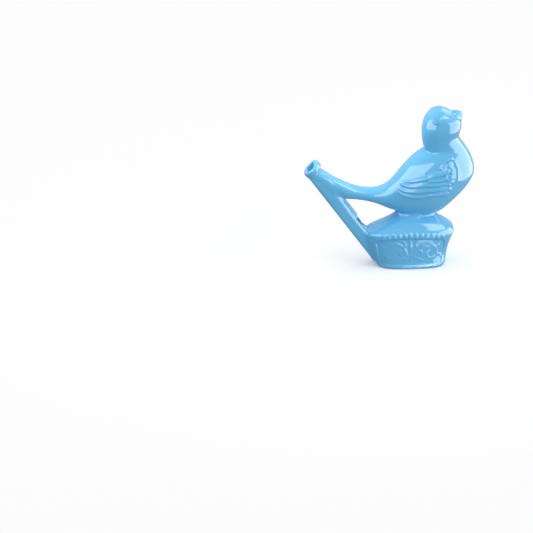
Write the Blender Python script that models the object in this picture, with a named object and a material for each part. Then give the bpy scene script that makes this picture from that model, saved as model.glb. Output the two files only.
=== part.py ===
"""Moulded plastic bird whistle: two half shells welded on the middle plane.

The bird faces +X and the mouthpiece points up and back, towards -X. The middle plane is Y = 0.
Lengths below are in millimetres and the meshes are written in metres.
"""

import math

import bmesh
import bpy
import numpy as np
from mathutils import Matrix, Vector

MM = 0.001

# Mouthpiece to breast. The drawing below is brought to this length as a whole.
LENGTH = 68.6

# Points nearer than this are one point
MERGE = 0.001

# Shell and seam
WALL = 1.5
SEAM_GAP = 0.3

# Bird, measured along X: station, top of the back, bottom of the belly, half width
BIRD = (
    (-31.0, 40.4, 37.0, 2.9),
    (-28.8, 40.8, 36.5, 3.4),
    (-26.6, 39.9, 35.0, 3.7),
    (-24.6, 38.6, 32.8, 3.9),
    (-22.5, 37.2, 30.5, 3.9),
    (-18.0, 34.9, 28.3, 3.9),
    (-14.0, 33.2, 27.8, 3.8),
    (-8.5, 32.2, 26.8, 3.9),
    (-4.0, 32.7, 25.3, 4.7),
    (0.0, 35.0, 23.6, 6.0),
    (4.0, 39.6, 22.5, 7.5),
    (8.0, 44.3, 21.8, 8.6),
    (12.0, 47.6, 21.3, 9.3),
    (16.0, 50.0, 21.1, 9.7),
    (19.8, 51.9, 22.4, 9.8),
    (23.5, 53.6, 25.2, 9.4),
    (27.0, 54.2, 28.5, 8.5),
    (30.0, 50.4, 31.6, 6.9),
    (32.3, 46.3, 34.7, 4.7),
    (33.7, 42.6, 37.4, 2.2),
    (34.1, 40.1, 40.0, 0.05),
)
BIRD_RINGS = 58
BIRD_POINTS = 38
BACK_POWER = 2.1
BELLY_POWER = 2.5

# Head, measured up Z: height, nape side, throat side, half width
HEAD = (
    (45.0, 17.0, 24.5, 5.0),
    (47.0, 15.3, 25.8, 6.2),
    (49.0, 13.8, 26.8, 6.9),
    (51.2, 13.2, 27.6, 7.4),
    (54.0, 12.9, 28.2, 7.8),
    (57.0, 12.9, 28.7, 7.9),
    (60.0, 13.5, 28.9, 7.4),
    (62.5, 14.8, 27.4, 6.3),
    (64.3, 16.3, 24.6, 4.6),
    (65.4, 17.9, 21.9, 2.6),
    (65.7, 19.4, 20.3, 0.5),
)
HEAD_POWER = 2.15

# Beak, from inside the head to the tip: centre x, centre z, half height, half width
BEAK = (
    (21.5, 60.0, 2.6, 2.8),
    (24.5, 61.3, 2.8, 2.6),
    (27.0, 62.3, 2.3, 1.9),
    (28.5, 62.9, 1.5, 1.2),
    (29.1, 63.1, 0.7, 0.6),
    (29.3, 63.2, 0.1, 0.1),
)

# Low round eye domes on both sides of the head
EYE_X = 19.2
EYE_Z = 61.2
EYE_R = 1.7
EYE_RISE = 0.35

# Water tank, measured up Z: height, left end, right end, half width
TANK = (
    (0.0, -4.2, 20.6, 7.3),
    (0.4, -5.1, 21.5, 8.0),
    (1.3, -6.0, 22.2, 8.5),
    (5.0, -7.7, 22.8, 8.8),
    (9.0, -9.0, 23.8, 9.2),
    (12.5, -9.8, 25.2, 9.5),
    (14.2, -9.6, 25.8, 9.6),
    (15.7, -7.2, 25.2, 9.2),
    (17.5, -3.6, 23.1, 7.9),
    (19.3, -0.8, 20.6, 6.5),
    (21.0, 1.4, 18.1, 5.3),
    (22.5, 2.6, 16.8, 4.7),
    (24.5, 3.4, 16.2, 4.4),
)
TANK_POWER = 3.2
FLOOR_T = 1.6

# Panel and bead row on each side of the tank
PANEL = ((-4.6, 13.2), (21.5, 13.2), (20.4, 2.6), (-1.8, 2.6))
PANEL_DEEP = 0.35
BEADS = 12
BEAD_R = 0.75
BEAD_Z = 14.3
BEAD_FIRST_X = -4.2
BEAD_LAST_X = 21.0

# Mouthpiece tube. Its line starts at the mouth and runs down towards the tank.
MOUTH_X = -32.05
MOUTH_Z = 41.6
TUBE_FALL_DEG = 54.0
TUBE_HALF_W = 4.0
TUBE_EDGE_R = 1.3
# along the tube, underside, upper side
TUBE = (
    (1.6, -2.8, 1.6),
    (6.0, -2.85, 2.2),
    (12.5, -2.85, 2.9),
    (20.0, -2.85, 3.05),
    (30.0, -2.85, 3.05),
    (38.0, -2.85, 3.05),
    (46.5, -2.85, 2.9),
)
FLANGE_FALL_DEG = 45.0
FLANGE_HALF_H = 3.85
FLANGE_HALF_W = 4.9
FLANGE_LENGTH = 2.5
FLANGE_ROUND = 0.55

# Windway: along the tube, floor, roof, half width
WINDWAY = (
    (-1.6, -1.75, 1.75, 3.3),
    (1.0, -1.65, 1.65, 3.2),
    (8.0, -1.0, 1.1, 2.9),
    (14.0, 0.1, 1.8, 2.8),
    (28.6, 0.8, 2.0, 2.6),
)

# Window and labium, along the tube
WINDOW_START = 28.2
WINDOW_LENGTH = 4.2
WINDOW_NOTCH = 0.8
WINDOW_HALF_W = 2.7
RAMP_END = 36.0
LIP = 0.6
THROAT_FLOOR = -1.65
THROAT_ROOF = 1.9
THROAT_END = 45.0
OVERRUN = 2.0

# Locating pegs: x, z, length of the boss that carries it (none where the tail is solid)
PEGS = ((-8.5, 29.5, 0.0), (-2.8, 4.4, 6.0), (18.6, 4.8, 5.4), (17.2, 57.0, 4.0))
PEG_R = 1.0
PEG_LENGTH = 2.0
PEG_ROOT = 1.0
PEG_FIT = 0.3
BOSS_R = 2.3

# Wing feathers: root x, root z, middle x, middle z, tip x, tip z, rise above the body
FEATHERS = (
    (20.5, 43.2, 14.0, 40.2, 7.6, 38.0, 0.85),
    (21.5, 41.6, 14.5, 37.6, 5.8, 35.6, 0.74),
    (22.4, 39.6, 14.8, 35.4, 4.2, 33.8, 0.63),
    (23.0, 37.6, 15.0, 33.4, 2.4, 32.3, 0.52),
    (23.4, 35.8, 15.0, 31.4, 4.6, 30.9, 0.41),
)
FEATHER_HALF_W = 1.35
SHOULDER_X = 24.0
SHOULDER_Z = 41.2
SHOULDER_HALF_X = 4.0
SHOULDER_HALF_Z = 5.4
SHOULDER_RISE = 0.95

# Where the bird's hollow starts and stops along X, and the other two up Z
BIRD_HOLLOW = (-2.5, 33.6)
HEAD_HOLLOW = (46.0, 65.0)
TANK_HOLLOW_TOP = 24.3


def purge():
    """Start from an empty file."""
    for thing in list(bpy.data.objects):
        bpy.data.objects.remove(thing, do_unlink=True)


def collection(name, hidden):
    group = bpy.data.collections.new(name)
    bpy.context.scene.collection.children.link(group)
    group.hide_render = hidden
    return group


def smooth_table(table, count):
    """Read a table of stations as one smooth curve through every row."""
    rows = np.array(table, dtype=float)
    knots = np.arange(len(rows), dtype=float)
    slopes = np.gradient(rows, axis=0)
    where = np.linspace(0.0, len(rows) - 1.0, count)
    left = np.clip(where.astype(int), 0, len(rows) - 2)
    t = (where - knots[left])[:, None]
    a, b = rows[left], rows[left + 1]
    m, n = slopes[left], slopes[left + 1]
    h00 = 2 * t**3 - 3 * t**2 + 1
    h10 = t**3 - 2 * t**2 + t
    h01 = -2 * t**3 + 3 * t**2
    h11 = t**3 - t**2
    return h00 * a + h10 * m + h01 * b + h11 * n


def skin(name, rings, group):
    """Close a stack of equal rings into one solid."""
    rings = [np.asarray(ring, dtype=float) for ring in rings]
    count = len(rings[0])
    points = [tuple(p) for ring in rings for p in ring]
    faces = []
    for row in range(len(rings) - 1):
        for k in range(count):
            nxt = (k + 1) % count
            a = row * count
            b = a + count
            faces.append((a + k, a + nxt, b + nxt, b + k))
    faces.append(tuple(reversed(range(count))))
    last = (len(rings) - 1) * count
    faces.append(tuple(last + k for k in range(count)))
    return solid(name, points, faces, group)


def solid(name, points, faces, group):
    mesh = bpy.data.meshes.new(name)
    mesh.from_pydata(points, [], faces)
    shape = bmesh.new()
    shape.from_mesh(mesh)
    bmesh.ops.recalc_face_normals(shape, faces=shape.faces)
    if shape.calc_volume(signed=True) < 0:
        bmesh.ops.reverse_faces(shape, faces=shape.faces)
    bmesh.ops.triangulate(shape, faces=[f for f in shape.faces if len(f.verts) > 4])
    shape.to_mesh(mesh)
    shape.free()
    thing = bpy.data.objects.new(name, mesh)
    group.objects.link(thing)
    return thing


def round_power(angle, power):
    """Signed cosine and sine raised for a squarer or rounder ellipse."""
    c, s = np.cos(angle), np.sin(angle)
    return (
        np.sign(c) * np.abs(c) ** (2.0 / power),
        np.sign(s) * np.abs(s) ** (2.0 / power),
    )


def shifted(x, z, amount):
    """Move a curve sideways by the amount, to the left of its direction of travel."""
    dx, dz = np.gradient(x), np.gradient(z)
    size = np.maximum(np.hypot(dx, dz), 1e-9)
    return x - amount * dz / size, z + amount * dx / size


def bird_solid(name, group, grow, start=-99.0, stop=99.0, coarse=1):
    """The body and tail as rings along X, grown or shrunk by the given amount."""
    rows = smooth_table(BIRD, BIRD_RINGS // coarse)
    x, top, bottom, half = rows.T
    top_x, top_z = shifted(x, top, grow)
    low_x, low_z = shifted(x, bottom, -grow)
    slope = np.gradient(half) / np.maximum(np.gradient(x), 1e-3)
    wide = half + grow * np.minimum(np.sqrt(1 + slope**2), 2.2)
    angle = np.linspace(0.0, 2 * math.pi, BIRD_POINTS // coarse, endpoint=False)
    upper = np.sin(angle) >= 0
    cu, su = round_power(angle, BACK_POWER)
    cl, sl = round_power(angle, BELLY_POWER)
    across = np.where(upper, cu, cl)
    upward = np.where(upper, su, sl)
    rings = []
    for k in range(len(rows)):
        if not start <= x[k] <= stop:
            continue
        middle_x, reach_x = 0.5 * (top_x[k] + low_x[k]), 0.5 * (top_x[k] - low_x[k])
        middle_z, reach_z = 0.5 * (top_z[k] + low_z[k]), 0.5 * (top_z[k] - low_z[k])
        rings.append(
            np.stack(
                (
                    middle_x + reach_x * upward,
                    max(wide[k], 0.03) * across,
                    middle_z + reach_z * upward,
                ),
                1,
            )
        )
    return skin(name, rings, group)


def slices(name, table, power, group, grow, count, around, low=-99.0, high=99.0):
    """A loft of level rings, each given by its two ends and half width."""
    rows = smooth_table(table, count)
    rise = np.maximum(np.gradient(rows[:, 0]), 1e-3)
    insets = []
    for column in (1, 2, 3):
        slope = np.gradient(rows[:, column]) / rise
        insets.append(grow * np.minimum(np.sqrt(1 + slope**2), 1.9))
    angle = np.linspace(0.0, 2 * math.pi, around, endpoint=False)
    c, s = round_power(angle, power)
    rings = []
    for k, (z, left, right, half) in enumerate(rows):
        if not low <= z <= high:
            continue
        left -= insets[0][k]
        right += insets[1][k]
        middle, reach = 0.5 * (left + right), max(0.5 * (right - left), 0.05)
        wide = max(half + insets[2][k], 0.05)
        rings.append(np.stack((middle + reach * c, wide * s, np.full(around, z)), 1))
    return skin(name, rings, group)


def tube_frame():
    fall = math.radians(TUBE_FALL_DEG)
    along = np.array((math.cos(fall), 0.0, -math.sin(fall)))
    upper = np.array((math.sin(fall), 0.0, math.cos(fall)))
    return np.array((MOUTH_X, 0.0, MOUTH_Z)), along, upper


def rounded_ring(half_w, low, top, radius, steps):
    """Rounded rectangle: across, up."""
    radius = min(radius, half_w * 0.98, (top - low) * 0.49)
    corners = (
        (half_w - radius, top - radius, 0.0),
        (-half_w + radius, top - radius, 90.0),
        (-half_w + radius, low + radius, 180.0),
        (half_w - radius, low + radius, 270.0),
    )
    points = []
    for cx, cy, start in corners:
        for k in range(steps + 1):
            turn = math.radians(start + 90.0 * k / steps)
            points.append((cx + radius * math.cos(turn), cy + radius * math.sin(turn)))
    return points


def tube_solid(name, table, group, edge, steps, count):
    origin, along, upper = tube_frame()
    rows = smooth_table(table, count)
    rings = []
    for row in rows:
        reach, low, top = row[:3]
        half = row[3] if len(row) > 3 else TUBE_HALF_W
        ring = rounded_ring(half, low, top, edge, steps)
        rings.append(
            [
                origin + along * reach + upper * up + np.array((0.0, side, 0.0))
                for side, up in ring
            ]
        )
    return skin(name, rings, group)


def flange_solid(name, group):
    """The lip around the mouth, an oval with rounded rims."""
    fall = math.radians(FLANGE_FALL_DEG)
    along = np.array((math.cos(fall), 0.0, -math.sin(fall)))
    upper = np.array((math.sin(fall), 0.0, math.cos(fall)))
    origin = np.array((MOUTH_X, 0.0, MOUTH_Z))
    angle = np.linspace(0.0, 2 * math.pi, 36, endpoint=False)
    c, s = round_power(angle, 2.2)
    front = []
    for k in range(5):
        turn = math.radians(22.5 * k)
        front.append((FLANGE_ROUND * (1 - math.cos(turn)), FLANGE_ROUND * (1 - math.sin(turn))))
    rings = front + [(FLANGE_LENGTH - deep, inset) for deep, inset in reversed(front)]
    loops = []
    for deep, inset in rings:
        high = FLANGE_HALF_H - inset
        wide = FLANGE_HALF_W - inset
        loops.append(
            [
                origin + along * deep + upper * (high * b) + np.array((0.0, wide * a, 0.0))
                for a, b in zip(c, s)
            ]
        )
    return skin(name, loops, group)


def head_side(x, z):
    """How far the side of the head stands from the middle plane."""
    rows = smooth_table(HEAD, 120)
    nape, throat, half = (np.interp(z, rows[:, 0], rows[:, k]) for k in (1, 2, 3))
    share = abs(x - 0.5 * (nape + throat)) / (0.5 * (throat - nape))
    return half * max(1.0 - share**HEAD_POWER, 0.0) ** (1.0 / HEAD_POWER)


def eyes_solid(name, group):
    """A ball sunk in each cheek along its normal, so that only a low cap stands out."""
    ball = (EYE_R**2 + EYE_RISE**2) / (2 * EYE_RISE)
    step = 0.05
    side_y = head_side(EYE_X, EYE_Z)
    lean_x = (head_side(EYE_X - step, EYE_Z) - head_side(EYE_X + step, EYE_Z)) / (2 * step)
    lean_z = (head_side(EYE_X, EYE_Z - step) - head_side(EYE_X, EYE_Z + step)) / (2 * step)
    normal = Vector((lean_x, 1.0, lean_z)).normalized()
    centre_point = Vector((EYE_X, side_y, EYE_Z)) - normal * (ball - EYE_RISE)
    shape = bmesh.new()
    for side in (-1, 1):
        place = Matrix.Translation(Vector((centre_point.x, side * centre_point.y, centre_point.z)))
        bmesh.ops.create_uvsphere(
            shape, u_segments=24, v_segments=15, radius=ball, matrix=place
        )
    mesh = bpy.data.meshes.new(name)
    shape.to_mesh(mesh)
    shape.free()
    thing = bpy.data.objects.new(name, mesh)
    group.objects.link(thing)
    return thing


def beak_solid(name, group):
    rows = smooth_table(BEAK, 12)
    angle = np.linspace(0.0, 2 * math.pi, 20, endpoint=False)
    rings = []
    lean = math.radians(20.0)
    for x, z, high, wide in rows:
        up = high * np.sin(angle)
        rings.append(
            np.stack((x - up * math.sin(lean), wide * np.cos(angle), z + up * math.cos(lean)), 1)
        )
    return skin(name, rings, group)


def prism(name, outline, low_y, high_y, group):
    """A plate of the X-Z outline between two Y levels."""
    rings = [
        [(x, low_y, z) for x, z in outline],
        [(x, high_y, z) for x, z in outline],
    ]
    return skin(name, rings, group)


def tube_prism(name, outline, half_w, group):
    """A plate whose outline is given along and above the tube's line."""
    origin, along, upper = tube_frame()
    flat = [origin + along * a + upper * b for a, b in outline]
    return prism(name, [(p[0], p[2]) for p in flat], -half_w, half_w, group)


def combine(target, tool, operation):
    print(target.name, operation.lower(), tool.name)
    change = target.modifiers.new(tool.name, "BOOLEAN")
    change.operation = operation
    change.solver = "EXACT"
    change.object = tool
    bpy.context.view_layer.update()
    graph = bpy.context.evaluated_depsgraph_get()
    result = bpy.data.meshes.new_from_object(target.evaluated_get(graph))
    target.modifiers.clear()
    old = target.data
    target.data = result
    bpy.data.meshes.remove(old)
    tidy(target)
    return target


def tidy(target):
    """Merge points closer than a hundredth of a millimetre."""
    shape = bmesh.new()
    shape.from_mesh(target.data)
    bmesh.ops.remove_doubles(shape, verts=shape.verts, dist=MERGE)
    bmesh.ops.dissolve_degenerate(shape, edges=shape.edges, dist=MERGE)
    bad = sum(1 for e in shape.edges if len(e.link_faces) != 2)
    if bad:
        print("edges to mend", target.name, bad)
    shape.to_mesh(target.data)
    shape.free()


def ellipse_outline(cx, cz, half_x, half_z, count):
    angle = np.linspace(0.0, 2 * math.pi, count, endpoint=False)
    return [(cx + half_x * math.cos(a), cz + half_z * math.sin(a)) for a in angle]


def feather_outline(row):
    """A blade along a bent centre line, with a round tip and a narrower root."""
    root = Vector((row[0], row[1]))
    middle = Vector((row[2], row[3]))
    tip = Vector((row[4], row[5]))
    upper, lower = [], []
    steps = 9
    for k in range(steps + 1):
        t = k / steps
        centre = root * (1 - t) ** 2 + middle * (2 * t * (1 - t)) + tip * t**2
        heading = (middle - root) * (2 * (1 - t)) + (tip - middle) * (2 * t)
        heading.normalize()
        side = Vector((-heading.y, heading.x))
        half = FEATHER_HALF_W * (0.75 + 0.25 * math.sin(math.pi * min(t, 0.5)))
        half *= math.sqrt(max(1.0 - max(0.0, (t - 0.8) / 0.2) ** 2, 0.02))
        upper.append(centre + side * half)
        lower.append(centre - side * half)
    points = upper + list(reversed(lower))
    return [(p.x, p.y) for p in points]


def bead_row(name, group):
    """Half round beads under the rim of the tank, on both sides."""
    rows = smooth_table(TANK, 60)
    left, right, half = (np.interp(BEAD_Z, rows[:, 0], rows[:, k]) for k in (1, 2, 3))
    middle, reach = 0.5 * (left + right), 0.5 * (right - left)
    shape = bmesh.new()
    for number in range(BEADS):
        x = BEAD_FIRST_X + (BEAD_LAST_X - BEAD_FIRST_X) * number / (BEADS - 1)
        out = half * (1 - abs((x - middle) / reach) ** TANK_POWER) ** (1 / TANK_POWER)
        for side in (-1, 1):
            place = Matrix.Translation(Vector((x, side * (out - 0.25), BEAD_Z)))
            bmesh.ops.create_uvsphere(
                shape, u_segments=7, v_segments=5, radius=BEAD_R, matrix=place
            )
    mesh = bpy.data.meshes.new(name)
    shape.to_mesh(mesh)
    shape.free()
    thing = bpy.data.objects.new(name, mesh)
    group.objects.link(thing)
    return thing


def outer_solid(parts, tools):
    """The whole outside, before it is hollowed and split."""
    body = bird_solid("outside", parts, 0.0)
    head = slices("head", HEAD, HEAD_POWER, tools, 0.0, 22, 32)
    beak = beak_solid("beak", tools)
    tank = slices("tank", TANK, TANK_POWER, tools, 0.0, 25, 52)
    tube = tube_solid("tube", TUBE, tools, TUBE_EDGE_R, 4, 14)
    flange = flange_solid("flange", tools)

    # sunk panel on each side of the tank
    core = slices("panel_floor", TANK, TANK_POWER, tools, -PANEL_DEEP, 25, 52)
    for side in (-1, 1):
        low, high = sorted((side * 4.0, side * 14.0))
        plate = prism("panel_plate", PANEL, low, high, tools)
        combine(plate, core, "DIFFERENCE")
        combine(tank, plate, "DIFFERENCE")
    combine(tank, bead_row("beads", tools), "UNION")

    # feathers stand on the body in steps
    for row in FEATHERS:
        raised = bird_solid("feather_skin", tools, row[6], -6.0)
        for side in (-1, 1):
            low, high = sorted((side * 3.5, side * 14.0))
            blade = prism("feather", feather_outline(row), low, high, tools)
            combine(blade, raised, "INTERSECT")
            combine(body, blade, "UNION")
    raised = bird_solid("shoulder_skin", tools, SHOULDER_RISE, -6.0)
    outline = ellipse_outline(
        SHOULDER_X, SHOULDER_Z, SHOULDER_HALF_X, SHOULDER_HALF_Z, 20
    )
    for side in (-1, 1):
        low, high = sorted((side * 3.5, side * 14.0))
        patch = prism("shoulder", outline, low, high, tools)
        combine(patch, raised, "INTERSECT")
        combine(body, patch, "UNION")

    for tool in (head, eyes_solid("eyes", tools), beak, tank, tube, flange):
        combine(body, tool, "UNION")

    # everything stands on the table plane
    under = prism("under", ((-60, -20), (60, -20), (60, 0), (-60, 0)), -30, 30, tools)
    combine(body, under, "DIFFERENCE")
    return body


def hollow(body, tools):
    """Take out the inside, the windway and the window."""
    cuts = (
        bird_solid("bird_hollow", tools, -WALL, *BIRD_HOLLOW, 2),
        slices("head_hollow", HEAD, HEAD_POWER, tools, -WALL, 16, 20, *HEAD_HOLLOW),
        slices(
            "tank_hollow", TANK, TANK_POWER, tools, -WALL, 26, 28, FLOOR_T, TANK_HOLLOW_TOP
        ),
        tube_solid("windway", WINDWAY, tools, 1.2, 2, 12),
    )
    for cut in cuts:
        combine(body, cut, "DIFFERENCE")
    top = TUBE[4][2]
    floor = WINDWAY[-1][1]
    start = WINDOW_START
    end = start + WINDOW_LENGTH
    above = top + OVERRUN
    notch = (
        (start, above),
        (start, top - WINDOW_NOTCH),
        (end + 1.0, top - WINDOW_NOTCH),
        (RAMP_END - 0.5, top + 0.05),
        (RAMP_END - 0.2, above),
    )
    # slot, throat under the lip, and the ramp on top of the lip
    window = (
        (start + 0.05, above + 0.1),
        (start + 0.05, THROAT_FLOOR),
        (THROAT_END, THROAT_FLOOR),
        (THROAT_END, THROAT_ROOF),
        (RAMP_END, THROAT_ROOF),
        (end, floor + LIP - 0.02),
        (end, floor + LIP),
        (RAMP_END - 0.3, top - 0.05),
        (RAMP_END, above + 0.1),
    )
    wide = TUBE_HALF_W + OVERRUN
    combine(body, tube_prism("notch", notch, wide, tools), "DIFFERENCE")
    combine(body, tube_prism("window", window, WINDOW_HALF_W, tools), "DIFFERENCE")
    return body


def rod(name, x, z, radius, low, high, group):
    outline = ellipse_outline(x, z, radius, radius, 20)
    return prism(name, outline, low, high, group)


def half_shell(name, source, side, parts, tools):
    """One moulding: cut at the seam, with bosses and pegs or sockets."""
    piece = source.copy()
    piece.data = source.data.copy()
    piece.name = name
    piece.data.name = name
    parts.objects.link(piece)
    near = SEAM_GAP / 2
    low, high = sorted((side * near, side * 40.0))
    keep = prism("keep", ((-60, -5), (60, -5), (60, 90), (-60, 90)), low, high, tools)
    combine(piece, keep, "INTERSECT")
    for x, z, boss in PEGS:
        if boss:
            low, high = sorted((side * near, side * boss))
            combine(piece, rod("boss", x, z, BOSS_R, low, high, tools), "UNION")
    for x, z, boss in PEGS:
        if side > 0:
            peg = rod("peg", x, z, PEG_R, -PEG_LENGTH, PEG_ROOT, tools)
            combine(piece, peg, "UNION")
        else:
            socket = rod(
                "socket", x, z, PEG_R + PEG_FIT, -PEG_LENGTH - PEG_FIT, PEG_ROOT, tools
            )
            combine(piece, socket, "DIFFERENCE")
    return piece


def plastic(name):
    material = bpy.data.materials.new(name)
    material.use_nodes = True
    shader = material.node_tree.nodes["Principled BSDF"]
    shader.inputs["Base Color"].default_value = (0.15, 0.49, 0.80, 1.0)
    shader.inputs["Roughness"].default_value = 0.12
    return material


def centre(pieces):
    """Bring the whole to LENGTH, its middle to X = 0 and its lowest point to Z = 0."""
    points = [v.co for piece in pieces for v in piece.data.vertices]
    xs = [p.x for p in points]
    zs = [p.z for p in points]
    shift = Vector((-0.5 * (min(xs) + max(xs)), 0.0, -min(zs)))
    size = LENGTH / (max(xs) - min(xs))
    for piece in pieces:
        piece.data.transform(Matrix.Scale(size * MM, 4) @ Matrix.Translation(shift))
    print("moved by", [round(v, 3) for v in shift], "sized by", round(size, 5))


def main():
    purge()
    parts = collection("bird_whistle", False)
    tools = collection("cutters", True)
    outside = outer_solid(parts, tools)
    print("outside", len(outside.data.polygons))
    hollow(outside, tools)
    print("hollow", len(outside.data.polygons))
    pieces = [
        half_shell("right_half_shell", outside, -1, parts, tools),
        half_shell("left_half_shell", outside, 1, parts, tools),
    ]
    bpy.data.objects.remove(outside, do_unlink=True)
    centre(pieces)
    for piece in pieces:
        piece.data.materials.clear()
        piece.data.materials.append(plastic(piece.name + "_plastic"))
    for tool in list(tools.objects):
        tool.hide_render = True
        tool.display_type = "WIRE"


main()
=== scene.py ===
import math

import bpy
import numpy as np
from mathutils import Matrix, Vector


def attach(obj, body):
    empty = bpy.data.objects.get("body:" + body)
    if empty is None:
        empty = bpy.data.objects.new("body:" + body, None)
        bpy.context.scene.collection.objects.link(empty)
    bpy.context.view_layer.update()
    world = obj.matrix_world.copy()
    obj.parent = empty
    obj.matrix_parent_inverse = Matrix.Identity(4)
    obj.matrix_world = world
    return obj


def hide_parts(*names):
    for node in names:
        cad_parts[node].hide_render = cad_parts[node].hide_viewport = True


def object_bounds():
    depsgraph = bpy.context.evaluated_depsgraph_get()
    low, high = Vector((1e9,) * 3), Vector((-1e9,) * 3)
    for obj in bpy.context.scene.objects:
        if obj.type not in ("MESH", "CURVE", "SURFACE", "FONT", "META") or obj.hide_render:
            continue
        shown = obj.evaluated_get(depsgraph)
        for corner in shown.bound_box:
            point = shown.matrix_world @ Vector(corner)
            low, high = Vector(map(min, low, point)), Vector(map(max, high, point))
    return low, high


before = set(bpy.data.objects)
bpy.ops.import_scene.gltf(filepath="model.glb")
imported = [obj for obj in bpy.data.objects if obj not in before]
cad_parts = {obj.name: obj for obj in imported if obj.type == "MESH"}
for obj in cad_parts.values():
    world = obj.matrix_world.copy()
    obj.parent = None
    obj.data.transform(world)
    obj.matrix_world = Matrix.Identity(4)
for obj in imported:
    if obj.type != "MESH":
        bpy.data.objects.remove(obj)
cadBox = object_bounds()
print("stage: frame loaded")

mm = 0.001
# The part is drawn in millimetres on the moulder's own grid, and this is how far that grid lies
# from the frame's along X.
gridShift = 0.226
tiny = 1e-4  # keeps divisions off zero
thinnest = 0.03  # half size at which an oval counts as closed
farOff = 9.0  # half widths, beyond every drawn line


def smoothRows(rows, count):
    # Cubic Hermite through every row of the table, with central-difference slopes, read at
    # count even steps of the row number.
    rows = np.array(rows, dtype=float)
    slopes = np.gradient(rows, axis=0)
    where = np.linspace(0.0, len(rows) - 1.0, count)
    left = np.clip(where.astype(int), 0, len(rows) - 2)
    t = (where - left)[:, None]
    a, b, m, n = rows[left], rows[left + 1], slopes[left], slopes[left + 1]
    return (
        (2 * t**3 - 3 * t**2 + 1) * a
        + (t**3 - 2 * t**2 + t) * m
        + (3 * t**2 - 2 * t**3) * b
        + (t**3 - t**2) * n
    )


def splineRows(rows, count):
    # Natural cubic spline through every row of the table, so that even the curvature runs on
    # without a jump, read at count even steps of the row number. The second derivatives solve
    # the usual three-band system.
    rows = np.array(rows, dtype=float)
    last = len(rows) - 1
    bands = np.diag(np.full(last + 1, 4.0)) + np.diag(np.ones(last), 1) + np.diag(np.ones(last), -1)
    bands[0], bands[last] = 0.0, 0.0
    bands[0, 0] = bands[last, last] = 1.0
    pull = np.zeros_like(rows)
    pull[1:-1] = 6.0 * (rows[2:] - 2 * rows[1:-1] + rows[:-2])
    bend = np.linalg.solve(bands, pull)
    where = np.linspace(0.0, last, count)
    left = np.clip(where.astype(int), 0, last - 1)
    t = (where - left)[:, None]
    u = 1.0 - t
    a, b, m, n = rows[left], rows[left + 1], bend[left], bend[left + 1]
    return u * a + t * b + ((u**3 - u) * m + (t**3 - t) * n) / 6.0


def lookUp(rows, key):
    # Every other column of the table as a function of its first column.
    return [np.interp(key, rows[:, 0], rows[:, k]) for k in range(1, rows.shape[1])]


def smoothStep(low, high, value):
    # 0 at low and 1 at high, also where high is the smaller, with level ends: 3 t^2 - 2 t^3.
    t = np.clip((value - low) / (high - low), 0.0, 1.0)
    return t * t * (3 - 2 * t)


def softMin(a, b, reach):
    # Polynomial union: the smaller of two distances, less a quarter of the reach times the
    # square of how close they are within the reach.
    h = np.maximum(reach - np.abs(a - b), 0.0) / reach
    return np.minimum(a, b) - h * h * reach * 0.25


def softMax(a, b, reach):
    # The larger of two distances, rounded off in the same way.
    return -softMin(-a, -b, reach)


def ovalDistance(p, q, halfP, halfQ, power):
    # Distance to a superellipse along the ray from its middle: rho - rho / r, where rho is the
    # plain radius and r the radius measured in half widths.
    u, v = np.abs(p) / halfP, np.abs(q) / halfQ
    r = np.maximum((u**power + v**power) ** (1.0 / power), tiny)
    rho = np.maximum(np.hypot(p, q), tiny)
    return rho - rho / r


bird = {
    # station along X, top of the back, bottom of the belly, half width
    "rows": (
        (-31.0, 40.4, 37.0, 2.9),
        (-28.8, 40.8, 36.5, 3.4),
        (-26.6, 39.9, 35.0, 3.7),
        (-24.6, 38.6, 32.8, 3.9),
        (-22.5, 37.2, 30.5, 3.9),
        (-18.0, 34.9, 28.3, 3.9),
        (-14.0, 33.2, 27.8, 3.8),
        (-8.5, 32.2, 26.8, 3.9),
        (-4.0, 32.7, 25.3, 4.7),
        (0.0, 35.0, 23.6, 6.0),
        (4.0, 39.6, 22.5, 7.5),
        (8.0, 44.3, 21.8, 8.6),
        (12.0, 47.6, 21.3, 9.3),
        (16.0, 50.0, 21.1, 9.7),
        (19.8, 51.5, 22.4, 9.8),
        (23.5, 51.9, 25.2, 9.4),
        (27.0, 51.3, 28.5, 8.5),
        (30.0, 49.3, 31.6, 6.9),
        (32.3, 46.2, 34.7, 4.7),
        (33.7, 42.6, 37.4, 2.2),
        (34.1, 40.1, 40.0, 0.05),
    ),
    "readings": 900,
    "backPower": 2.1,
    "bellyPower": 2.5,
}


def birdDistance(x, y, z):
    # Body and tail: at each X an oval between the back line and the belly line.
    rows = splineRows(bird["rows"], bird["readings"])
    top, low, half = lookUp(rows, x)
    middle, reach = 0.5 * (top + low), np.maximum(0.5 * (top - low), thinnest)
    up = z - middle
    upper = ovalDistance(y, up, half, reach, bird["backPower"])
    lower = ovalDistance(y, up, half, reach, bird["bellyPower"])
    side = np.where(up > 0, upper, lower)
    return np.maximum(side, np.maximum(x - rows[-1, 0], rows[0, 0] - x))


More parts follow.
